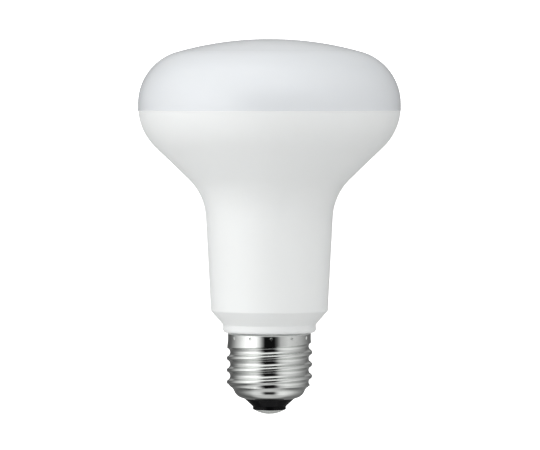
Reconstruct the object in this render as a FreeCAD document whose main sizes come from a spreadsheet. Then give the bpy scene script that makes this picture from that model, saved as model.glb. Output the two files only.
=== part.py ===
"""Reflector bulb with a screw cap.

A milky plastic diffuser closes the wide end of a white moulded housing. The housing's neck ends in a
collar and a stepped spigot, and a thin plated screw shell is pushed over that spigot and locked to it
by a ring of punch marks. The shell's thread is rolled, so its inside follows its outside. A black
insulator closes the bottom of the shell and holds the pressed-in centre contact.

Units are millimetres. The origin is on the lamp's axis at the tip of the centre contact, and +Z points
up the axis towards the diffuser.
"""
import os
import FreeCAD, Part
import Sketcher

doc = FreeCAD.newDocument("reflector_bulb")

SAME_POINT = 1e-6  # mm, how near two points of a sketch are when they are one
SAME_EDGE = 1e-4  # mm, how near an edge's radius and height are to the ones asked for

# Driving sizes: alias, value and what it measures. Each height is taken from the piece it belongs to,
# and the worked-out sizes below add them up from the tip of the centre contact.
SIZES = [
    ("lamp_radius", 40.0, "widest radius, just above the seam"),
    ("seam_height", 92.4, "joint between diffuser and housing, above the contact's tip"),
    ("seam_step", 0.04, "how far the housing's rim stands inside the diffuser's"),
    ("crown_radius", 103.0, "radius of the diffuser's shallow crown"),
    ("shoulder_radius", 16.45, "radius of the diffuser's rounded shoulder"),
    ("diffuser_rim", 2.085, "height of the diffuser's upright rim above the seam"),
    ("diffuser_wall", 1.8, "wall of the diffuser"),
    ("rim_wall", 2.0, "wall of the housing's rim outside the diffuser's spigot"),
    ("rim_depth", 4.0, "depth of the recess that takes the diffuser's spigot"),
    ("rim_round", 0.15, "edge round on the housing's rim"),
    ("rim_clearance", 0.1, "gap all round the diffuser's spigot"),
    ("belly_radius", 17.0, "radius of the housing's rounded belly"),
    ("belly_rise", 1.2, "height of the belly's centre above the seam"),
    ("flare_angle", 46.07, "slope of the flare, from the axis"),
    ("throat_radius", 17.28, "radius of the hollow between flare and neck"),
    ("neck_draft", 3.05, "draft of the neck, from the axis"),
    ("neck_edge_round", 0.6, "edge round at the foot of the neck"),
    ("cone_width", 3.62, "how far the foot of the neck stands outside the collar"),
    ("cone_depth", 4.16, "height of the cone between neck and collar"),
    ("cone_foot_round", 0.4, "hollow round between cone and collar"),
    ("collar_width", 1.55, "how far the collar stands outside the shell's skirt"),
    ("collar_depth", 2.44, "height of the collar"),
    ("collar_round", 1.0, "round on the collar's lower edge"),
    ("spigot_land_depth", 1.8, "height of the spigot's wide part under the collar"),
    ("spigot_lift", 1.63, "space between the contact's shank and the spigot"),
    ("spigot_chamfer", 1.2, "chamfer on the spigot's lower end"),
    ("cap_clearance", 0.05, "gap between the shell and what sits in it"),
    ("shell_wall", 0.28, "sheet thickness of the screw shell"),
    ("thread_radius", 13.05, "radius over the thread's crests"),
    ("thread_depth", 1.05, "depth of the thread's hollows"),
    ("thread_pitch", 3.629, "pitch of the thread, seven turns to 25.4 mm"),
    ("thread_turns", 4, "turns of the hollow at full depth, with its run-in below the shoulder"),
    ("thread_lead", 3.04, "depth below the shoulder at which the hollow runs in"),
    ("thread_crest_round", 0.75, "radius of the crests' round"),
    ("thread_crest_break", 10.0, "angle left of each crest's round for its narrow land"),
    ("runout_turns", 0.42, "part of a turn in which the hollow runs out"),
    ("runout_depth", 0.205, "depth that the hollow still has where its run-out ends"),
    ("skirt_height", 4.23, "height of the shell above the start of the run-out"),
    ("skirt_depth", 2.2, "height of the skirt's upright part"),
    ("skirt_flare_depth", 3.8, "height over which the skirt widens to the thread"),
    ("skirt_edge_round", 0.2, "round on the outer edge of the shell's top"),
    ("skirt_inset", 0.4, "how far the skirt stands inside the thread's crests"),
    ("shoulder_edge_round", 0.5, "round on the outer edge of the shell's lower shoulder"),
    ("shoulder_depth", 1.37, "height from the shoulder down to the waist"),
    ("waist_inset", 1.96, "how far the waist stands inside the thread's crests"),
    ("waist_round", 2.5, "radius of the waist's hollow round"),
    ("bowl_depth", 2.27, "height from the waist down to the bowl's corner"),
    ("bowl_inset", 0.97, "how far the bowl's corner stands inside the waist"),
    ("bowl_round", 3.3, "radius of the bowl's round"),
    ("lip_depth", 0.91, "height from the bowl's corner down to the mouth"),
    ("lip_width", 2.57, "width of the shell's turned-in end, from the bowl's corner to the mouth"),
    ("punch_count", 12, "punch marks round the skirt"),
    ("punch_drop", 1.45, "depth of the punch marks' row below the shell's top edge"),
    ("punch_width", 1.15, "corner-to-corner width of a punch mark at the surface"),
    ("punch_depth", 0.4, "depth of a punch mark"),
    ("punch_taper", 38.0, "slope of a punch mark's sides, from its axis"),
    ("punch_turn", 2.5, "angle of the nearest mark to the right of the front"),
    ("insulator_drop", 0.45, "depth of the insulator's upper face below the shell's waist"),
    ("nose_depth", 2.29, "height of the insulator's cone below the shell's mouth"),
    ("nose_inset", 2.5, "how far the cone narrows, from the shell's mouth to the land"),
    ("land_depth", 1.0, "height of the short land under the cone"),
    ("land_round", 0.25, "round on the land's lower edge"),
    ("contact_inset", 0.45, "how far the centre contact stands inside the land"),
    ("contact_rise", 1.28, "height of the contact's dome"),
    ("contact_edge", 0.07, "height of the contact's upright edge"),
    ("shank_radius", 1.5, "radius of the contact's shank"),
    ("shank_proud", 1.4, "length of the shank above the insulator"),
    ("shank_chamfer", 0.4, "chamfer on the shank's upper end"),
]

# Sizes worked out from the driving ones: alias, formula and what it measures. Heights are above the tip
# of the centre contact, and are added up from there to the neck.
DERIVED = [
    ("insulator_foot", "=contact_rise + contact_edge", "height of the insulator's lower face"),
    ("land_top", "=insulator_foot + land_depth", "height where the land meets the cone"),
    ("mouth_height", "=land_top + nose_depth", "height of the shell's mouth"),
    ("bowl_height", "=mouth_height + lip_depth", "height of the bowl's corner before it is rounded"),
    ("waist_height", "=bowl_height + bowl_depth", "height of the waist"),
    ("shoulder_height", "=waist_height + shoulder_depth", "height of the shell's lower shoulder"),
    ("thread_start", "=shoulder_height - thread_lead", "height of the hollow's centre where it starts"),
    ("thread_end", "=thread_start + thread_turns * thread_pitch", "height where the run-out starts"),
    ("collar_foot", "=thread_end + skirt_height", "height of the shell's top edge, under the collar"),
    ("collar_top", "=collar_foot + collar_depth", "height where the cone meets the collar"),
    ("neck_foot", "=collar_top + cone_depth", "height of the foot of the neck"),
    ("skirt_foot", "=collar_foot - skirt_depth", "height where the skirt starts to widen"),
    ("skirt_flare_foot", "=skirt_foot - skirt_flare_depth", "height where it has widened to the thread"),
    ("punch_height", "=collar_foot - punch_drop", "height of the punch marks"),
    ("insulator_top", "=waist_height - insulator_drop", "height of the insulator's upper face"),
    ("shank_top", "=insulator_top + shank_proud", "height of the shank's upper end"),
    ("spigot_foot", "=shank_top + spigot_lift", "height of the spigot's lower end"),
    ("spigot_land_foot", "=collar_foot - spigot_land_depth",
     "height where the spigot steps in to pass the thread"),
    ("skirt_radius", "=thread_radius - skirt_inset", "radius of the shell's skirt"),
    ("collar_radius", "=skirt_radius + collar_width", "radius of the collar"),
    ("neck_radius", "=collar_radius + cone_width", "radius at the foot of the neck"),
    ("thread_root_radius", "=thread_radius - thread_depth", "radius at the bottom of the hollows"),
    ("waist_radius", "=thread_radius - waist_inset", "radius of the waist"),
    ("bowl_radius", "=waist_radius - bowl_inset", "radius of the bowl's corner before it is rounded"),
    ("mouth_radius", "=bowl_radius - lip_width", "radius of the shell's mouth"),
    ("land_radius", "=mouth_radius - nose_inset", "radius of the insulator's land"),
    ("contact_radius", "=land_radius - contact_inset", "radius of the centre contact"),
    ("contact_crown", "=(contact_radius^2 + contact_rise^2) / (2 * contact_rise)",
     "radius of the contact's dome"),
    ("spigot_land_radius", "=skirt_radius - shell_wall - cap_clearance", "spigot inside the skirt"),
    ("spigot_radius", "=thread_root_radius - shell_wall - cap_clearance", "spigot inside the thread"),
    ("shoulder_centre_radius", "=lamp_radius - shoulder_radius",
     "radius of the centre of the diffuser's shoulder"),
    ("shoulder_centre", "=seam_height + diffuser_rim", "height of that centre"),
    ("shoulder_centre_rise", "=sqrt((crown_radius - shoulder_radius)^2 - shoulder_centre_radius^2)",
     "rise from the crown's centre to the shoulder's"),
    ("crown_lean", "=asin(shoulder_centre_radius / (crown_radius - shoulder_radius))",
     "angle from the axis at which the crown meets the shoulder"),
    ("lamp_height", "=shoulder_centre - shoulder_centre_rise + crown_radius",
     "height of the whole lamp, at the top of the crown"),
    ("recess_radius", "=lamp_radius - seam_step - rim_wall", "inside of the housing's rim"),
    ("recess_floor", "=seam_height - rim_depth", "floor of the recess, where the housing's deck lies"),
    ("diffuser_spigot_radius", "=recess_radius - rim_clearance", "outside of the diffuser's spigot"),
    ("belly_centre_radius", "=lamp_radius - seam_step - belly_radius", "radius of the belly's centre"),
    ("belly_height", "=seam_height + belly_rise", "height of the belly's centre"),
    ("rim_radius", "=belly_centre_radius + sqrt(belly_radius^2 - belly_rise^2)",
     "outer radius of the housing's rim at the seam"),
    ("flare_reach", "=throat_radius + belly_radius + belly_centre_radius * cos(flare_angle)"
     " - belly_height * sin(flare_angle)", "offset of the flare's line from the origin, at the throat"),
    ("neck_reach", "=throat_radius + neck_radius * cos(neck_draft) - neck_foot * sin(neck_draft)",
     "offset of the neck's line from the origin, at the throat"),
    ("throat_centre_radius", "=(neck_reach * sin(flare_angle) - flare_reach * sin(neck_draft))"
     " / sin(flare_angle - neck_draft)", "radius of the throat's centre"),
    ("throat_centre", "=(neck_reach * cos(flare_angle) - flare_reach * cos(neck_draft))"
     " / sin(flare_angle - neck_draft)", "height of the throat's centre"),
    ("skirt_flare_lean", "=-atan(skirt_inset / skirt_flare_depth)",
     "slope of the skirt's lower part, from the axis"),
    ("shoulder_lean", "=atan(waist_inset / shoulder_depth)", "slope under the shell's shoulder"),
    ("waist_lean", "=atan(bowl_inset / bowl_depth)", "slope between waist and bowl"),
    ("lip_lean", "=atan(lip_width / lip_depth)", "slope of the turned-in end"),
    ("thread_root_round", "=(thread_depth^2 + thread_pitch^2 / 4) / (2 * thread_depth)"
     " - thread_crest_round", "radius of the hollows, tangent to the crests' rounds"),
    ("thread_lean", "=asin(thread_pitch / 2 / (thread_crest_round + thread_root_round))",
     "angle at which hollow and crest meet"),
    ("runout_lean", "=atan((thread_depth - runout_depth) / (runout_turns * thread_pitch))",
     "slope of the run-out, from the axis"),
    ("punch_start", "=skirt_radius + punch_depth / 2", "radius from which the punch marks are cut"),
    ("punch_reach", "=punch_width / 2 + punch_depth / 2 * tan(punch_taper) * sqrt(2)",
     "half the width of a mark, corner to corner, at that radius"),
]

sheet = doc.addObject("Spreadsheet::Sheet", "size")
sheet.Label = "size"
for row, (alias, content, meaning) in enumerate(SIZES + DERIVED, start=1):
    sheet.set(f"A{row}", alias)
    sheet.set(f"B{row}", str(content))
    sheet.setAlias(f"B{row}", alias)
    sheet.set(f"C{row}", meaning)
doc.recompute()


def number(expression):
    """Value of an expression in the sheet's terms, to draw a sketch near its solution."""
    result = sheet.evalExpression(expression)
    return float(getattr(result, "Value", result))


def new_body(name):
    """A body labelled with its node's name."""
    body = doc.addObject("PartDesign::Body", name)
    body.Label = name
    return body


def origin_feature(body, role):
    """One of a body's own origin planes or axes."""
    return next(item for item in body.Origin.OriginFeatures if item.Role == role)


def new_sketch(body, name, role="XZ_Plane"):
    """A sketch on one of the body's origin planes. On XZ it has the radius across and the height up."""
    sketch = body.newObject("Sketcher::SketchObject", name)
    sketch.AttachmentSupport = (origin_feature(body, role), [""])
    sketch.MapMode = "FlatFace"
    return sketch


def bind(sketch, name, expression, kind, *where):
    """Add a dimension to the sketch and tie it to an expression of the sheet."""
    index = sketch.addConstraint(Sketcher.Constraint(kind, *where, number(expression)))
    sketch.renameConstraint(index, name)
    sketch.setExpression(f"Constraints.{name}", expression)


def corner(across, up, **how):
    """A corner of an outline: how may hold round=radius, or arc=radius and side for the edge after it."""
    return {"across": across, "up": up, **how}


def pin_point(sketch, name, geometry, end, point):
    """Pin an end of an edge at a corner, or to the axis where the corner is on it."""
    if point["across"] == "0":
        sketch.addConstraint(Sketcher.Constraint("PointOnObject", geometry, end, -2))
    else:
        bind(sketch, f"{name}_across", point["across"], "DistanceX", -1, 1, geometry, end)
    bind(sketch, f"{name}_up", point["up"], "DistanceY", -1, 1, geometry, end)


def arc_through(start, finish, radius, side):
    """The short arc between two points. side is +1 where it bulges to the left of the way from start."""
    chord = finish - start
    left = FreeCAD.Vector(-chord.y, chord.x, 0).normalize()
    sagitta = radius - (radius ** 2 - chord.Length ** 2 / 4) ** 0.5
    middle = (start + finish) / 2 + left * side * sagitta
    return Part.Arc(start, middle, finish)


def outline(sketch, corners):
    """Draw a closed outline through the corners, with every corner pinned to the sheet.

    A rounded corner keeps its sharp point as a construction point on both of its edges.
    """
    points = [FreeCAD.Vector(number(c["across"]), number(c["up"]), 0) for c in corners]
    count = len(corners)
    starts = list(points)
    finishes = points[1:] + points[:1]
    rounds = {}
    for i, here in enumerate(corners):
        if "round" not in here:
            continue
        back = (points[i - 1] - points[i]).normalize()
        ahead = (points[(i + 1) % count] - points[i]).normalize()
        radius = number(here["round"])
        reach = radius / FreeCAD.Vector(back).cross(ahead).Length * (1 + back.dot(ahead))
        finishes[i - 1] = points[i] + back * reach
        starts[i] = points[i] + ahead * reach
        bisector = (back + ahead).normalize()
        middle = points[i] + bisector * ((reach ** 2 + radius ** 2) ** 0.5 - radius)
        rounds[i] = Part.Arc(finishes[i - 1], middle, starts[i])

    def add(curve, start):
        index = sketch.addGeometry(curve, False)
        first_is_start = sketch.getPoint(index, 1).distanceToPoint(start) < SAME_POINT
        return (index, 1, 2) if first_is_start else (index, 2, 1)

    edges = []
    for i, here in enumerate(corners):
        if "arc" in here:
            curve = arc_through(starts[i], finishes[i], number(here["arc"]), here["side"])
        else:
            curve = Part.LineSegment(starts[i], finishes[i])
        edges.append(add(curve, starts[i]))
    for i, here in enumerate(corners):
        before, after = edges[i - 1], edges[i]
        if i in rounds:
            bend = add(rounds[i], finishes[i - 1])
            sketch.addConstraint(Sketcher.Constraint("Tangent", before[0], before[2], bend[0], bend[1]))
            sketch.addConstraint(Sketcher.Constraint("Tangent", bend[0], bend[2], after[0], after[1]))
            bind(sketch, f"round_{i}", here["round"], "Radius", bend[0])
            sharp = sketch.addGeometry(Part.Point(points[i]), True)
            sketch.addConstraint(Sketcher.Constraint("PointOnObject", sharp, 1, before[0]))
            sketch.addConstraint(Sketcher.Constraint("PointOnObject", sharp, 1, after[0]))
            pin_point(sketch, f"corner_{i}", sharp, 1, here)
        else:
            sketch.addConstraint(Sketcher.Constraint("Coincident", before[0], before[2], after[0], after[1]))
            pin_point(sketch, f"corner_{i}", after[0], after[1], here)
        if "arc" in here:
            bind(sketch, f"arc_{i}", here["arc"], "Radius", after[0])


def revolve(body, name, sketch, kind="PartDesign::Revolution"):
    """Turn a sketch once round the axis, to add material or, as a groove, to cut it."""
    feature = body.newObject(kind, name)
    feature.Profile = sketch
    feature.ReferenceAxis = (sketch, ["V_Axis"])
    feature.Angle = 360
    return feature


def round_edge(feature, radius, height):
    """Name of a feature's circular edge that has this radius and lies at this height."""
    for index, edge in enumerate(feature.Shape.Edges, start=1):
        if not isinstance(edge.Curve, Part.Circle):
            continue
        off_radius = abs(edge.Curve.Radius - number(radius))
        off_height = abs(edge.Curve.Center.z - number(height))
        if max(off_radius, off_height) < SAME_EDGE:
            return f"Edge{index}"
    raise RuntimeError(f"{feature.Name} has no edge of radius {radius} at {height}")


# The diffuser is one moulding of milky plastic: a shallow crown, a rounded shoulder, a short upright
# rim, and a spigot that drops into the housing's rim. Its wall is the same all over.
diffuser = new_body("diffuser")
diffuser_outline = new_sketch(diffuser, "diffuser_outline")
meet_across = "size.shoulder_centre_radius + ({}) * sin(size.crown_lean)"
meet_up = "size.shoulder_centre + ({}) * cos(size.crown_lean)"
outer_round = "size.shoulder_radius"
inner_round = "size.shoulder_radius - size.diffuser_wall"
spigot_inside = "size.diffuser_spigot_radius - size.diffuser_wall"
spigot_foot = "size.recess_floor + size.rim_clearance"
inner_meets_spigot = (
    "size.shoulder_centre + sqrt((size.shoulder_radius - size.diffuser_wall)^2"
    " - (size.diffuser_spigot_radius - size.diffuser_wall - size.shoulder_centre_radius)^2)"
)
outline(diffuser_outline, [
    corner("0", "size.lamp_height", arc="size.crown_radius", side=1),
    corner(meet_across.format(outer_round), meet_up.format(outer_round), arc=outer_round, side=1),
    corner("size.lamp_radius", "size.shoulder_centre"),
    corner("size.lamp_radius", "size.seam_height"),
    corner("size.diffuser_spigot_radius", "size.seam_height"),
    corner("size.diffuser_spigot_radius", spigot_foot),
    corner(spigot_inside, spigot_foot),
    corner(spigot_inside, inner_meets_spigot, arc=inner_round, side=-1),
    corner(meet_across.format(inner_round), meet_up.format(inner_round),
           arc="size.crown_radius - size.diffuser_wall", side=-1),
    corner("0", "size.lamp_height - size.diffuser_wall"),
])
revolve(diffuser, "diffuser_shell", diffuser_outline)

# The housing is one white moulding: the rim round the diffuser, the rounded belly, the straight flare,
# the hollow throat, the drafted neck, the cone, the collar, and the stepped spigot that fills the shell.
housing = new_body("housing")
housing_outline = new_sketch(housing, "housing_outline")
outline(housing_outline, [
    corner("0", "size.recess_floor"),
    corner("size.recess_radius", "size.recess_floor"),
    corner("size.recess_radius", "size.seam_height"),
    corner("size.rim_radius", "size.seam_height", arc="size.belly_radius", side=1),
    corner("size.belly_centre_radius + size.belly_radius * cos(size.flare_angle)",
           "size.belly_height - size.belly_radius * sin(size.flare_angle)"),
    corner("size.throat_centre_radius - size.throat_radius * cos(size.flare_angle)",
           "size.throat_centre + size.throat_radius * sin(size.flare_angle)",
           arc="size.throat_radius", side=-1),
    corner("size.throat_centre_radius - size.throat_radius * cos(size.neck_draft)",
           "size.throat_centre + size.throat_radius * sin(size.neck_draft)"),
    corner("size.neck_radius", "size.neck_foot", round="size.neck_edge_round"),
    corner("size.collar_radius", "size.collar_top", round="size.cone_foot_round"),
    corner("size.collar_radius", "size.collar_foot", round="size.collar_round"),
    corner("size.spigot_land_radius", "size.collar_foot"),
    corner("size.spigot_land_radius", "size.spigot_land_foot"),
    corner("size.spigot_radius", "size.spigot_land_foot"),
    corner("size.spigot_radius", "size.spigot_foot + size.spigot_chamfer"),
    corner("size.spigot_radius - size.spigot_chamfer", "size.spigot_foot"),
    corner("0", "size.spigot_foot"),
])
moulding = revolve(housing, "housing_moulding", housing_outline)
doc.recompute()
rim_edge = housing.newObject("PartDesign::Fillet", "rim_edge")
rim_edge.Base = (moulding, [round_edge(moulding, "size.rim_radius", "size.seam_height")])
rim_edge.setExpression("Radius", "size.rim_round")


UPRIGHT = "0 deg"  # slope of an upright edge, in the unit of the other slopes


def shell_corner(across, up, above, below, inset, **how):
    """A corner of the shell's outline moved inwards by the inset, between edges of two slopes."""
    middle = f"((({above}) + ({below})) / 2)"
    spread = f"cos((({above}) - ({below})) / 2)"
    return corner(f"{across} - {inset} * cos{middle} / {spread}",
                  f"{up} + {inset} * sin{middle} / {spread}", **how)


def hollow_sketch(body, name, centre, inset):
    """Section of the thread's hollow at one height: its root, half of each crest beside it, and air."""
    sketch = new_sketch(body, name)
    root = f"(size.thread_root_round + {inset})"
    crest = f"(size.thread_crest_round - {inset})"
    crest_centre = "size.thread_radius - size.thread_crest_round"
    half_turn = "size.thread_pitch / 2"
    outside = "size.thread_radius + size.thread_depth"
    meet = f"size.thread_root_radius + size.thread_root_round - {root} * cos(size.thread_lean)"
    meet_rise = f"{root} * sin(size.thread_lean)"
    end = f"{crest_centre} + {crest} * cos(size.thread_crest_break)"
    end_rise = f"{half_turn} - {crest} * sin(size.thread_crest_break)"
    outline(sketch, [
        corner(outside, f"{centre} - ({end_rise})"),
        corner(end, f"{centre} - ({end_rise})", arc=crest, side=-1),
        corner(meet, f"{centre} - {meet_rise}", arc=root, side=1),
        corner(meet, f"{centre} + {meet_rise}", arc=crest, side=-1),
        corner(end, f"{centre} + ({end_rise})"),
        corner(outside, f"{centre} + ({end_rise})"),
    ])
    return sketch


def cut_hollow(body, name, centre, inset, turns):
    """Cut the thread's hollow upwards from one height, over so many turns."""
    cut = body.newObject("PartDesign::SubtractiveHelix", name)
    cut.Profile = hollow_sketch(body, f"{name}_section", centre, inset)
    cut.ReferenceAxis = (cut.Profile[0], ["V_Axis"])
    cut.Mode = "pitch-turns-angle"
    cut.setExpression("Pitch", "size.thread_pitch")
    cut.setExpression("Turns", turns)
    return cut


def rolled_form(name, inset, top, mouth):
    """The threaded form of the shell: the blank as it is drawn, and the thread that is rolled into it.

    With no inset it is the shell's outside, and with the wall as inset its inside. top is the corner at
    its upper edge, and mouth holds the corners that close the outline below the turned-in end.
    """
    body = new_body(name)
    blank = new_sketch(body, f"{name}_outline")
    outline(blank, [
        corner("0", top["up"]),
        top,
        shell_corner("size.skirt_radius", "size.skirt_foot", UPRIGHT, "size.skirt_flare_lean", inset),
        shell_corner("size.thread_radius", "size.skirt_flare_foot", "size.skirt_flare_lean", UPRIGHT,
                     inset),
        shell_corner("size.thread_radius", "size.shoulder_height", UPRIGHT, "size.shoulder_lean", inset,
                     round=f"size.shoulder_edge_round - {inset}"),
        shell_corner("size.waist_radius", "size.waist_height", "size.shoulder_lean", "size.waist_lean",
                     inset, round=f"size.waist_round + {inset}"),
        shell_corner("size.bowl_radius", "size.bowl_height", "size.waist_lean", "size.lip_lean", inset,
                     round=f"size.bowl_round - {inset}"),
        *mouth,
    ])
    revolve(body, f"{name}_blank", blank)
    doc.recompute()
    cut_hollow(body, f"{name}_hollow", "size.thread_start", inset, "size.thread_turns")
    doc.recompute()
    runout = cut_hollow(body, f"{name}_runout", "size.thread_end", inset, "size.runout_turns")
    runout.setExpression("Angle", "size.runout_lean")
    doc.recompute()
    return body


def punch_marks(body, name, inset):
    """Cut the ring of punch marks into a body, each a blunt four-sided pit, widened by the inset."""
    section = new_sketch(body, f"{name}_section")
    turn = FreeCAD.Rotation(FreeCAD.Vector(0, 1, 0), number("size.punch_turn"))
    section.AttachmentOffset = FreeCAD.Placement(FreeCAD.Vector(), turn)
    section.setExpression("AttachmentOffset.Rotation.Angle", "size.punch_turn")
    section.setExpression("AttachmentOffset.Base.x", "size.punch_start * sin(size.punch_turn)")
    section.setExpression("AttachmentOffset.Base.z", "size.punch_start * cos(size.punch_turn)")
    reach = f"(size.punch_reach + {inset} * sqrt(2) / cos(size.punch_taper))"
    outline(section, [
        corner("0", f"size.punch_height + {reach}"),
        corner(reach, "size.punch_height"),
        corner("0", f"size.punch_height - {reach}"),
        corner(f"-{reach}", "size.punch_height"),
    ])
    pit = body.newObject("PartDesign::Pocket", f"{name}_pit")
    pit.Profile = section
    pit.setExpression("Length", f"size.punch_start - size.skirt_radius + size.punch_depth + {inset}")
    pit.setExpression("TaperAngle", "-size.punch_taper")
    doc.recompute()
    ring = body.newObject("PartDesign::PolarPattern", f"{name}_ring")
    ring.Originals = [pit]
    ring.Axis = (origin_feature(body, "Z_Axis"), [""])
    ring.Angle = 360
    ring.setExpression("Occurrences", "size.punch_count")
    body.Tip = ring
    doc.recompute()


# The screw shell is drawn from thin brass sheet and plated. Its thread is rolled into it, its lower end
# is turned in to hold the insulator, and its skirt is punched into the spigot all round.
outside_top = corner("size.skirt_radius", "size.collar_foot", round="size.skirt_edge_round")
outside = rolled_form("shell_outside", "0", outside_top, [
    corner("size.mouth_radius", "size.mouth_height"),
    corner("0", "size.mouth_height"),
])
inside_top = corner("size.skirt_radius - size.shell_wall", "size.collar_foot + size.shell_wall")
inside = rolled_form("shell_inside", "size.shell_wall", inside_top, [
    corner("size.mouth_radius", "size.mouth_height + size.shell_wall / sin(size.lip_lean)"),
    corner("size.mouth_radius", "size.mouth_height - size.shell_wall"),
    corner("0", "size.mouth_height - size.shell_wall"),
])
punch_marks(outside, "outside_marks", "0")
punch_marks(inside, "inside_marks", "size.shell_wall")
screw_shell = doc.addObject("Part::Cut", "screw_shell")
screw_shell.Label = "screw_shell"
screw_shell.Base = outside
screw_shell.Tool = inside

# The spigot takes the same marks, with room for the sheet.
punch_marks(housing, "spigot_marks", "(size.shell_wall + size.cap_clearance)")

# The insulator is black and glossy. It fills the bottom of the shell, passes through its mouth as a
# cone with a short land, and has a hole for the contact's shank.
insulator = new_body("insulator")
insulator_outline = new_sketch(insulator, "insulator_outline")
fit_inset = "(size.shell_wall + size.cap_clearance)"
nose_across = "size.mouth_radius - size.cap_clearance"
hole = "size.shank_radius + size.cap_clearance"
outline(insulator_outline, [
    corner(hole, "size.insulator_foot"),
    corner("size.land_radius", "size.insulator_foot", round="size.land_round"),
    corner("size.land_radius", "size.land_top"),
    corner(nose_across, "size.mouth_height - size.cap_clearance"),
    corner(nose_across, f"size.mouth_height + {fit_inset} / sin(size.lip_lean)"
                        " - size.cap_clearance / tan(size.lip_lean)"),
    shell_corner("size.bowl_radius", "size.bowl_height", "size.waist_lean", "size.lip_lean",
                 fit_inset, round=f"size.bowl_round - {fit_inset}"),
    corner(f"size.bowl_radius - {fit_inset} / cos(size.waist_lean)"
           " + (size.insulator_top - size.bowl_height) * tan(size.waist_lean)", "size.insulator_top"),
    corner(hole, "size.insulator_top"),
])
revolve(insulator, "insulator_body", insulator_outline)

# The centre contact is a domed head on a shank that is pressed up through the insulator.
centre_contact = new_body("centre_contact")
contact_outline = new_sketch(centre_contact, "contact_outline")
outline(contact_outline, [
    corner("0", "0", arc="size.contact_crown", side=-1),
    corner("size.contact_radius", "size.contact_rise"),
    corner("size.contact_radius", "size.insulator_foot"),
    corner("size.shank_radius", "size.insulator_foot"),
    corner("size.shank_radius", "size.shank_top - size.shank_chamfer"),
    corner("size.shank_radius - size.shank_chamfer", "size.shank_top"),
    corner("0", "size.shank_top"),
])
revolve(centre_contact, "contact_turning", contact_outline)
doc.recompute()

NODES = [diffuser, housing, screw_shell, insulator, centre_contact]

for item in doc.Objects:
    if "Invalid" in item.State or "Error" in item.State:
        raise RuntimeError(f"{item.Name} did not build: {item.State}")
for node in NODES:
    if node.Shape.isNull() or not node.Shape.isValid():
        raise RuntimeError(f"{node.Label} has no sound solid")

os.makedirs("parts", exist_ok=True)
for node in NODES:
    node.Shape.exportStep(f"parts/{node.Label}.step")
    box = node.Shape.optimalBoundingBox(False)
    print(node.Label, len(node.Shape.Solids), "solid", len(node.Shape.Faces), "faces",
          round(node.Shape.Volume, 1), "mm3, z", round(box.ZMin, 2), "to", round(box.ZMax, 2),
          "radius", round(box.XMax, 2))
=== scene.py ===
"""Looks of a reflector bulb with a screw cap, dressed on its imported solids. Units are metres."""
import math

import bmesh
import bpy
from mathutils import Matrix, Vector


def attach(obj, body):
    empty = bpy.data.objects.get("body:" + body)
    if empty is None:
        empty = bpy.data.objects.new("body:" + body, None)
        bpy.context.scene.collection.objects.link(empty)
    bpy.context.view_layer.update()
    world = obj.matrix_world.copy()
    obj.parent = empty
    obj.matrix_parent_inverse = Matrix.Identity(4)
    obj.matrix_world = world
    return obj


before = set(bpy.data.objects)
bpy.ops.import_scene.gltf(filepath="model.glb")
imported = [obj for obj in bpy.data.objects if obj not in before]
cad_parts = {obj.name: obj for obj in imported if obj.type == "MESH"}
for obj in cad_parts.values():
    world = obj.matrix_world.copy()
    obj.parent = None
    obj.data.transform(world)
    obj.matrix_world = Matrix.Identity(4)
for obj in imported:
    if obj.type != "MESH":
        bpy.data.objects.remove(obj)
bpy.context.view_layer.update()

# The housing is one injection moulding of white plastic: rim, belly, flare, neck, cone and collar. Its
# satin skin has the fine grain of the mould and slight flow waves, and it carries every other piece.
HOUSING_WHITE = (0.837, 0.852, 0.847, 1.0)
HOUSING_SHADE = (0.821, 0.836, 0.831, 1.0)
HOUSING_CLOUDS = 25.0  # noise sizes are in cells to the metre, here and below
HOUSING_RUBBED = 260.0
HOUSING_DEPTH = 0.0003  # how far light goes into the plastic
MOULD_GRAIN = 3500.0
FLOW_WAVES = 70.0
PLASTIC_IOR = 1.5
SCATTER_TINT = (1.0, 0.95, 0.9)  # red goes a little deeper than blue


def new_material(name):
    """A node material with its shader, and functions that add a node and feed a socket of the shader."""
    material = bpy.data.materials.new(name)
    material.use_nodes = True
    tree = material.node_tree
    shader = tree.nodes["Principled BSDF"]

    def link(output, socket):
        tree.links.new(output, shader.inputs[socket])

    return material, shader, node_adder(tree), link


def node_adder(tree):
    """A function that adds a node to this tree, with its inputs set or linked and its settings made."""
    def add(kind, inputs=(), **settings):
        node = tree.nodes.new(kind)
        for key, value in settings.items():
            setattr(node, key, value)
        for key, value in dict(inputs).items():
            if isinstance(value, bpy.types.NodeSocket):
                tree.links.new(value, node.inputs[key])
            else:
                node.inputs[key].default_value = value
        return node

    return add


def dress(node, material):
    """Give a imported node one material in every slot."""
    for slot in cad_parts[node].material_slots:
        slot.material = material


housing_plastic, shader, add, link = new_material("white_satin_plastic")
shader.inputs["IOR"].default_value = PLASTIC_IOR
shader.inputs["Subsurface Weight"].default_value = 0.2
shader.inputs["Subsurface Radius"].default_value = SCATTER_TINT
shader.inputs["Subsurface Scale"].default_value = HOUSING_DEPTH
place = add("ShaderNodeTexCoord").outputs["Object"]
clouds = add("ShaderNodeTexNoise", {"Vector": place, "Scale": HOUSING_CLOUDS, "Detail": 3.0}).outputs["Fac"]
tone = add("ShaderNodeMix", {"Factor": clouds, "A": HOUSING_SHADE, "B": HOUSING_WHITE}, data_type="RGBA")
link(tone.outputs["Result"], "Base Color")
rubbed = add("ShaderNodeTexNoise", {"Vector": place, "Scale": HOUSING_RUBBED, "Detail": 4.0}).outputs["Fac"]
satin = add("ShaderNodeMapRange", {"Value": rubbed, "To Min": 0.38, "To Max": 0.48})
link(satin.outputs["Result"], "Roughness")
grain = add("ShaderNodeTexNoise", {"Vector": place, "Scale": MOULD_GRAIN, "Detail": 2.0}).outputs["Fac"]
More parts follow.
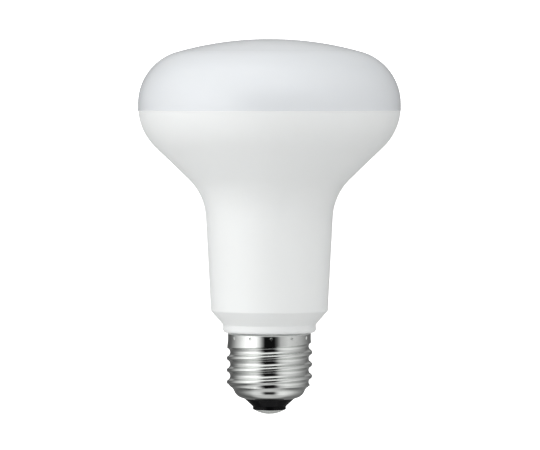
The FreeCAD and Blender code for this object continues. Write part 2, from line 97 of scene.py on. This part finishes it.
waves = add("ShaderNodeTexNoise", {"Vector": place, "Scale": FLOW_WAVES, "Detail": 1.0}).outputs["Fac"]
flow = add("ShaderNodeBump", {"Height": waves, "Strength": 0.15, "Distance": 0.0001})
skin = add("ShaderNodeBump", {"Height": grain, "Normal": flow.outputs["Normal"], "Strength": 0.3,
                              "Distance": 0.00001})
link(skin.outputs["Normal"], "Normal")
dress("housing", housing_plastic)

# The screw shell is drawn and rolled from thin brass sheet and plated with nickel. Drawing and rolling
# leave fine lines round it, and handling leaves faint dull patches. It is pushed on and punched fast,
# and its top edge turns in under the collar, more than the solid's small round does.
NICKEL = (0.725, 0.74, 0.725, 1.0)
NICKEL_DULL = (0.64, 0.656, 0.636, 1.0)
ROLLED_LINES = (40.0, 40.0, 4200.0)  # long round the shell and fine up it
DULL_PATCHES = 230.0
EDGE_START = 0.0239  # height from which the top edge turns in
EDGE_TOP = 0.0249
EDGE_INSET = 0.00042

cap_plating, shader, add, link = new_material("nickel_plate")
shader.inputs["Metallic"].default_value = 1.0
place = add("ShaderNodeTexCoord").outputs["Object"]
stretched = add("ShaderNodeMapping", {"Vector": place, "Scale": ROLLED_LINES}).outputs["Vector"]
lines = add("ShaderNodeTexNoise", {"Vector": stretched, "Scale": 1.0, "Detail": 3.0}).outputs["Fac"]
patches = add("ShaderNodeTexNoise", {"Vector": place, "Scale": DULL_PATCHES, "Detail": 5.0}).outputs["Fac"]
dull = add("ShaderNodeMapRange", {"Value": patches, "From Min": 0.5, "From Max": 0.75}).outputs["Result"]
plate = add("ShaderNodeMix", {"Factor": dull, "A": NICKEL, "B": NICKEL_DULL}, data_type="RGBA")
link(plate.outputs["Result"], "Base Color")
polish = add("ShaderNodeMapRange", {"Value": dull, "To Min": 0.03, "To Max": 0.1})
streaks = add("ShaderNodeMath", {0: lines, 1: 0.03, 2: polish.outputs["Result"]}, operation="MULTIPLY_ADD")
link(streaks.outputs[0], "Roughness")
height = add("ShaderNodeSeparateXYZ", {0: place}).outputs["Z"]
near_top = add("ShaderNodeMapRange", {"Value": height, "From Min": EDGE_START, "From Max": EDGE_TOP})
turned_in = add("ShaderNodeMath", {0: near_top.outputs["Result"], 1: 2.0}, operation="POWER").outputs[0]
edge = add("ShaderNodeBump", {"Height": turned_in, "Strength": 1.0, "Distance": EDGE_INSET}, invert=True)
ridges = add("ShaderNodeBump", {"Height": lines, "Normal": edge.outputs["Normal"], "Strength": 0.12,
                                "Distance": 0.000004})
link(ridges.outputs["Normal"], "Normal")
dress("screw_shell", cap_plating)

# The insulator is black, smooth and glossy, and is held by the shell's turned-in lower end. It has
# only faint specks and a slightly uneven polish.
INSULATOR_BLACK = (0.003, 0.003, 0.0035, 1.0)
INSULATOR_SPECK = (0.03, 0.03, 0.028, 1.0)
INSULATOR_DOTS = 2600.0
INSULATOR_POLISH = 350.0

insulator_black, shader, add, link = new_material("black_insulator")
shader.inputs["Specular IOR Level"].default_value = 0.07
place = add("ShaderNodeTexCoord").outputs["Object"]
dots = add("ShaderNodeTexNoise", {"Vector": place, "Scale": INSULATOR_DOTS, "Detail": 1.0}).outputs["Fac"]
speck = add("ShaderNodeMapRange", {"Value": dots, "From Min": 0.68, "From Max": 0.78}).outputs["Result"]
tint = add("ShaderNodeMix", {"Factor": speck, "A": INSULATOR_BLACK, "B": INSULATOR_SPECK}, data_type="RGBA")
link(tint.outputs["Result"], "Base Color")
uneven = add("ShaderNodeTexNoise", {"Vector": place, "Scale": INSULATOR_POLISH, "Detail": 3.0}).outputs["Fac"]
gloss = add("ShaderNodeMapRange", {"Value": uneven, "To Min": 0.1, "To Max": 0.22})
link(gloss.outputs["Result"], "Roughness")
dress("insulator", insulator_black)

# The centre contact is a domed plated head on a shank pressed through the insulator. It is duller than
# the shell, and its crown is scuffed in small short marks.
CONTACT_GREY = (0.9, 0.925, 0.89, 1.0)
CONTACT_WORN = (0.74, 0.76, 0.73, 1.0)
CONTACT_SCUFFS = 900.0

contact_metal, shader, add, link = new_material("contact_metal")
shader.inputs["Metallic"].default_value = 0.6
place = add("ShaderNodeTexCoord").outputs["Object"]
scuffs = add("ShaderNodeTexNoise", {"Vector": place, "Scale": CONTACT_SCUFFS, "Detail": 5.0}).outputs["Fac"]
wear = add("ShaderNodeMapRange", {"Value": scuffs, "From Min": 0.4, "From Max": 0.7}).outputs["Result"]
grey = add("ShaderNodeMix", {"Factor": wear, "A": CONTACT_GREY, "B": CONTACT_WORN}, data_type="RGBA")
link(grey.outputs["Result"], "Base Color")
scuffed = add("ShaderNodeMapRange", {"Value": wear, "To Min": 0.28, "To Max": 0.44})
link(scuffed.outputs["Result"], "Roughness")
dents = add("ShaderNodeBump", {"Height": scuffs, "Strength": 0.2, "Distance": 0.00002})
link(dents.outputs["Normal"], "Normal")
dress("centre_contact", contact_metal)

# The diffuser is one moulding of milky translucent plastic that closes the wide end. Light goes a
# little way into it, and its skin is smoother than the housing's.
MILKY = (0.733, 0.754, 0.774, 1.0)
MILKY_DEEP = (0.722, 0.744, 0.765, 1.0)
MILKY_CLOUDS = 20.0
MILKY_HANDLED = 180.0
MILKY_DEPTH = 0.0004

diffuser_plastic, shader, add, link = new_material("milky_plastic")
shader.inputs["IOR"].default_value = PLASTIC_IOR
shader.inputs["Subsurface Weight"].default_value = 0.3
shader.inputs["Subsurface Radius"].default_value = SCATTER_TINT
shader.inputs["Subsurface Scale"].default_value = MILKY_DEPTH
place = add("ShaderNodeTexCoord").outputs["Object"]
clouds = add("ShaderNodeTexNoise", {"Vector": place, "Scale": MILKY_CLOUDS, "Detail": 2.0}).outputs["Fac"]
milk = add("ShaderNodeMix", {"Factor": clouds, "A": MILKY_DEEP, "B": MILKY}, data_type="RGBA")
link(milk.outputs["Result"], "Base Color")
handled = add("ShaderNodeTexNoise", {"Vector": place, "Scale": MILKY_HANDLED, "Detail": 4.0}).outputs["Fac"]
sheen = add("ShaderNodeMapRange", {"Value": handled, "To Min": 0.16, "To Max": 0.24})
link(sheen.outputs["Result"], "Roughness")
frost = add("ShaderNodeTexNoise", {"Vector": place, "Scale": MOULD_GRAIN, "Detail": 1.0}).outputs["Fac"]
skin = add("ShaderNodeBump", {"Height": frost, "Strength": 0.15, "Distance": 0.00001})
link(skin.outputs["Normal"], "Normal")
dress("diffuser", diffuser_plastic)

# The fine bright line in the joint is drawn as a bead of the weld that holds the diffuser to the
# housing. It fills the groove of the housing's rounded rim, and is too thin for the solids. Its plastic is
# paler than the housing's, a painted highlight for the light that the rim's edge catches.
WELD_RADIUS = 0.03981
WELD_HEIGHT = 0.09233
WELD_ROUND = 0.00017
# painted highlight: both tones of the bead are paler than the housing's white plastic
WELD_HIGHLIGHT_PALE = (0.95, 0.96, 0.955, 1.0)
WELD_HIGHLIGHT_SHADE = (0.91, 0.92, 0.915, 1.0)
WELD_FLECKS = 900.0
WELD_STEPS = 384
WELD_SIDES = 24


def turned(name, profile, steps=96):
    """A surface of revolution about the lamp's axis, from pairs of radius and height."""
    form = bmesh.new()
    rows = []
    for across, up in profile:
        if across < 1e-9:
            rows.append([form.verts.new((0, 0, up))] * steps)
        else:
            turns = (2 * math.pi * i / steps for i in range(steps))
            rows.append([form.verts.new((across * math.cos(t), across * math.sin(t), up)) for t in turns])
    for low, high in zip(rows, rows[1:]):
        for i in range(steps):
            j = (i + 1) % steps
            form.faces.new(list(dict.fromkeys((low[i], low[j], high[j], high[i]))))
    bmesh.ops.remove_doubles(form, verts=form.verts, dist=1e-8)
    mesh = bpy.data.meshes.new(name)
    form.to_mesh(mesh)
    form.free()
    mesh.shade_smooth()
    piece = bpy.data.objects.new(name, mesh)
    bpy.context.collection.objects.link(piece)
    return piece


bead_line = []
for i in range(WELD_SIDES + 1):
    lean = 2 * math.pi * i / WELD_SIDES - math.pi
    bead_line.append((WELD_RADIUS + WELD_ROUND * math.cos(lean), WELD_HEIGHT + WELD_ROUND * math.sin(lean)))
weld_highlight_bead = turned("weld_highlight_bead", bead_line, steps=WELD_STEPS)
weld_highlight_plastic, shader, add, link = new_material("weld_highlight_plastic")
shader.inputs["IOR"].default_value = PLASTIC_IOR
shader.inputs["Roughness"].default_value = 0.5
place = add("ShaderNodeTexCoord").outputs["Object"]
flecks = add("ShaderNodeTexNoise", {"Vector": place, "Scale": WELD_FLECKS, "Detail": 2.0}).outputs["Fac"]
# the bead's paler colour is a painted highlight
painted_highlight = add("ShaderNodeMix", {"Factor": flecks, "A": WELD_HIGHLIGHT_SHADE, "B": WELD_HIGHLIGHT_PALE}, data_type="RGBA")
link(painted_highlight.outputs["Result"], "Base Color")
rough = add("ShaderNodeBump", {"Height": flecks, "Strength": 0.2, "Distance": 0.00002})
link(rough.outputs["Normal"], "Normal")
weld_highlight_bead.data.materials.append(weld_highlight_plastic)
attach(weld_highlight_bead, "root")

# The lamp stands free over a round sweep of white paper, floor and walls in one, which is lit on its own
# to the photo's clean white. The softer light that a table sends up at the lamp comes from a second
# disc, just under the paper, which the camera doesn't see.
FLOOR_HEIGHT = -0.06
TABLE_DROP = 0.001
SWEEP_RADIUS = 3.0
SWEEP_BEND = 1.0
SWEEP_GLOW = 1.02
PAPER_WHITE = (0.86, 0.86, 0.86, 1.0)
PAPER_SHADE = (0.84, 0.84, 0.84, 1.0)
PAPER_FIBRES = 600.0


def papery(name):
    """A white material with the fine fibres of paper, and its shader."""
    material, shader, add, link = new_material(name)
    place = add("ShaderNodeTexCoord").outputs["Object"]
    fibres = add("ShaderNodeTexNoise", {"Vector": place, "Scale": PAPER_FIBRES, "Detail": 3.0}).outputs["Fac"]
    white = add("ShaderNodeMix", {"Factor": fibres, "A": PAPER_SHADE, "B": PAPER_WHITE}, data_type="RGBA")
    link(white.outputs["Result"], "Base Color")
    tooth = add("ShaderNodeBump", {"Height": fibres, "Strength": 0.1, "Distance": 0.00002})
    link(tooth.outputs["Normal"], "Normal")
    return material, shader


bend = [math.radians(5 * i) for i in range(19)]
paper_line = [(0, FLOOR_HEIGHT)]
for lean in bend:
    paper_line.append((SWEEP_RADIUS - SWEEP_BEND * (1 - math.sin(lean)),
                       FLOOR_HEIGHT + SWEEP_BEND * (1 - math.cos(lean))))
for lean in bend[1:]:
    paper_line.append((SWEEP_RADIUS * math.cos(lean),
                       FLOOR_HEIGHT + SWEEP_BEND + SWEEP_RADIUS * math.sin(lean)))
paper_line[-1] = (0, paper_line[-1][1])
sweep = turned("paper_sweep", paper_line)
paper, shader = papery("white_paper")
shader.inputs["Emission Color"].default_value = (1, 1, 1, 1)
shader.inputs["Emission Strength"].default_value = SWEEP_GLOW
sweep.data.materials.append(paper)
sweep.visible_diffuse = False
sweep.visible_glossy = False
sweep.visible_shadow = False
sweep.visible_transmission = False

table = turned("table", [(0, FLOOR_HEIGHT - TABLE_DROP), (SWEEP_RADIUS, FLOOR_HEIGHT - TABLE_DROP)])
table_top, shader = papery("table_white")
shader.inputs["Roughness"].default_value = 0.9
table.data.materials.append(table_top)
table.visible_camera = False
table.visible_glossy = False

# The light comes from soft boxes: a bright wide one at the left, a weaker one at the right, and the
# dark of the camera's side between them, with light overhead. The metal mirrors all of it, so it is
# drawn as rings of level round the lamp, one above the other.
BRIGHTEST = 4.0
ROOM_LIGHT = 0.9
BELOW = 0.72  # level straight below
TABLE = [(-180, 0.22), (-143, 0.14), (-122, 0.22), (-100, 0.45), (-65, 0.95), (-42, 0.95), (-30, 0.5),
         (-20, 0.08), (-13, 0.008), (14, 0.008), (22, 0.12), (30, 0.6), (44, 1.08), (66, 1.15),
         (90, 0.88), (126, 0.38), (150, 0.22), (180, 0.22)]
HORIZON = [(-180, 0.2), (-143, 0.12), (-128, 0.2), (-114, 0.4), (-90, 1.0), (-60, 1.9), (-40, 1.8),
           (-28, 1.0), (-20, 0.35), (-13, 0.008), (14, 0.008), (22, 0.15), (32, 0.62), (54, 0.88),
           (78, 0.75), (114, 0.38), (140, 0.18), (180, 0.2)]
BACKDROP = [(-180, 0.55), (-164, 0.45)] + HORIZON[1:-1] + [(164, 0.45), (180, 0.55)]
OVERHEAD = [(-180, 0.65), (-160, 0.55), (-140, 0.4), (-114, 0.83), (-66, 1.4), (-42, 1.4), (-10, 1.15),
            (30, 1.25), (66, 0.85), (114, 0.43), (140, 0.35), (160, 0.5), (180, 0.65)]
RINGS = [  # levels, and the elevations between which each takes over from the one before
    (TABLE, -72, -54), (HORIZON, -11, -4), (BACKDROP, 8, 20), (OVERHEAD, 10, 45),
]

world = bpy.data.worlds.new("studio")
bpy.context.scene.world = world
world.use_nodes = True
add = node_adder(world.node_tree)
direction = add("ShaderNodeSeparateXYZ", {0: add("ShaderNodeTexCoord").outputs["Generated"]})
x, y, z = (direction.outputs[i] for i in range(3))
towards = add("ShaderNodeMath", {0: 0.0, 1: y}, operation="SUBTRACT").outputs[0]
azimuth = add("ShaderNodeMath", {0: x, 1: towards}, operation="ARCTAN2").outputs[0]
turn = add("ShaderNodeMapRange", {"Value": azimuth, "From Min": -math.pi, "From Max": math.pi})
elevation = add("ShaderNodeMath", {0: z}, operation="ARCSINE").outputs[0]


def ring(levels):
    """Brightness round the lamp at one height, from pairs of azimuth in degrees and level."""
    ramp = add("ShaderNodeValToRGB", {"Fac": turn.outputs["Result"]})
    stops = ramp.color_ramp.elements
    while len(stops) < len(levels):
        stops.new(0.5)
    for stop, (degrees, level) in zip(stops, levels):
        stop.position = (degrees + 180) / 360
        stop.color = (level / BRIGHTEST,) * 3 + (1,)
    return ramp.outputs[0]


light = add("ShaderNodeRGB").outputs[0]
light.default_value = (BELOW / BRIGHTEST,) * 3 + (1,)
for levels, lowest, highest in RINGS:
    rise = add("ShaderNodeMapRange", {"Value": elevation, "From Min": math.radians(lowest),
                                      "From Max": math.radians(highest)}, interpolation_type="SMOOTHSTEP")
    mixed = add("ShaderNodeMix", {"Factor": rise.outputs["Result"], "A": light, "B": ring(levels)},
                data_type="RGBA")
    light = mixed.outputs["Result"]
background = world.node_tree.nodes["Background"]
background.inputs["Strength"].default_value = BRIGHTEST * ROOM_LIGHT
world.node_tree.links.new(light, background.inputs["Color"])

# Large soft lights lift the plastic from the left, the front, the right and behind. They are kept out
# of the metal's reflections, which the rings already give.
SOFT_LIGHTS = [  # name, azimuth and elevation in degrees, power in watts
    ("soft_left", -66, 10, 2.9),
    ("soft_front", 6, 34, 2.75),
    ("soft_right", 84, 50, 2.35),
    ("soft_back", 180, 10, 1.8),
]
LIGHT_WIDTH = 0.9
LIGHT_DISTANCE = 1.3
LIGHT_TARGET = Vector((0, 0, 0.06))


def soft_light(name, azimuth, elevation, power):
    """A round area light that looks at the lamp from a direction."""
    lamp = bpy.data.lights.new(name, "AREA")
    lamp.shape = "DISK"
    lamp.size = LIGHT_WIDTH
    lamp.energy = power
    source = bpy.data.objects.new(name, lamp)
    bpy.context.collection.objects.link(source)
    level = math.cos(math.radians(elevation))
    way = Vector((level * math.sin(math.radians(azimuth)), -level * math.cos(math.radians(azimuth)),
                  math.sin(math.radians(elevation))))
    source.location = LIGHT_TARGET + way * LIGHT_DISTANCE
    source.rotation_euler = (-way).to_track_quat("-Z", "Y").to_euler()
    source.visible_glossy = False


for setup in SOFT_LIGHTS:
    soft_light(*setup)

# The camera stands where the photo was taken: in front, a little above the lamp's middle and far away.
# The photo shows no depth of field and no shift.
CAMERA_LENS = 314.0
CAMERA_PLACE = (0.00018, -1.433, 0.0988)
CAMERA_DOWN = 1.647  # degrees below level

camera_data = bpy.data.cameras.new("camera")
camera_data.lens = CAMERA_LENS
camera = bpy.data.objects.new("camera", camera_data)
bpy.context.collection.objects.link(camera)
camera.location = CAMERA_PLACE
camera.rotation_euler = (math.radians(90 - CAMERA_DOWN), 0, 0)
bpy.context.scene.camera = camera
bpy.context.scene.view_settings.view_transform = "Standard"
